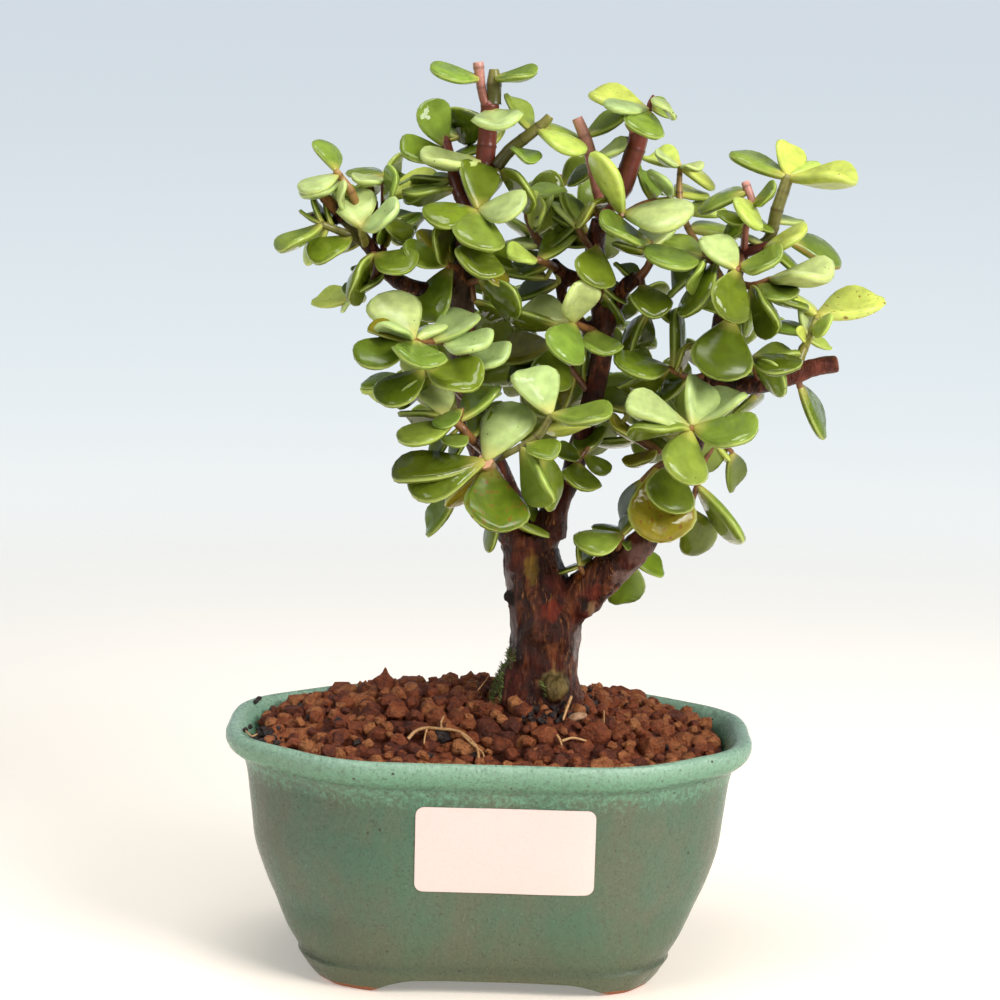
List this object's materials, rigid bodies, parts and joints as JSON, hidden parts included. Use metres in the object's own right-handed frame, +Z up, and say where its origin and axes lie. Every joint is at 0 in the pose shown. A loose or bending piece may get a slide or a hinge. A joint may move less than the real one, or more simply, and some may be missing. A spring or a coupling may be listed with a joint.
{
  "type": "potted dwarf jade bonsai",
  "caption": "Small branching succulent tree with round fleshy leaves, standing in granular soil in a long green glazed pot with a flared lip and low feet.",
  "frame": {"origin": "centre of the whole object's box, at the height of the pot's feet", "axes": "+Z up along the tree, +X along the pot's long side, +Y away from the side with the label"},
  "size_m": [0.1862, 0.1076, 0.2624],
  "materials": {
    "glaze": "mottled celadon glaze, gloss",
    "mesh": "moulded plastic mesh, matte",
    "label": "blank coated sticker, satin",
    "soil": "porous clay granules, matte",
    "pebble": "worn pebble, matte",
    "root": "bare root, matte",
    "bark": "dark bark, satin where wet",
    "moss": "short moss, matte",
    "leaf": "fleshy leaf with a waxy skin, satin"
  },
  "bodies": {
    "root": {"pot": "glaze", "pot_label": "label", "drainage_mesh_left": "mesh", "drainage_mesh_right": "mesh", "soil": "soil", "cone_granule": "soil", "tan_pebble": "pebble", "surface_root_left": "root", "surface_root_right": "root", "trunk": "bark", "moss_patch": "moss", "back_backlit": "leaf", "centre_heart_pair": "leaf", "centre_low_cluster": "leaf", "centre_olive_upright": "leaf", "centre_round_wet": "leaf", "centre_wet_low": "leaf", "crown_left_fork": "leaf", "crown_top": "leaf", "far_left_tip": "leaf", "far_right_yellow": "leaf", "front_left_heart": "leaf", "front_left_round": "leaf", "front_low_great": "leaf", "front_low_under": "leaf", "front_right_heart": "leaf", "front_triangle": "leaf", "leader_front": "leaf", "leader_left_low": "leaf", "leader_left_side": "leaf", "leader_right_low": "leaf", "leader_right_shoot": "leaf", "leader_top": "leaf", "left_branch_mid": "leaf", "left_low_spray": "leaf", "left_maroon_stem": "leaf", "low_branch_back": "leaf", "low_branch_inner": "leaf", "low_branch_leaves": "leaf", "mid_left_sprays": "leaf", "mid_right_twig": "leaf", "rear_centre": "leaf", "rear_crown": "leaf", "rear_leader": "leaf", "rear_right": "leaf", "right_bright": "leaf", "right_front_cross": "leaf", "right_front_low": "leaf", "right_heart_pair": "leaf", "right_inner": "leaf", "right_low_back": "leaf", "right_middle_fan": "leaf", "right_sub_bright": "leaf", "right_sub_mid": "leaf", "right_top_fan": "leaf", "right_top_lime": "leaf", "stub_hanging": "leaf", "stub_leaves": "leaf", "stub_under": "leaf", "top_right_olive": "leaf"}
  },
  "joints": []
}
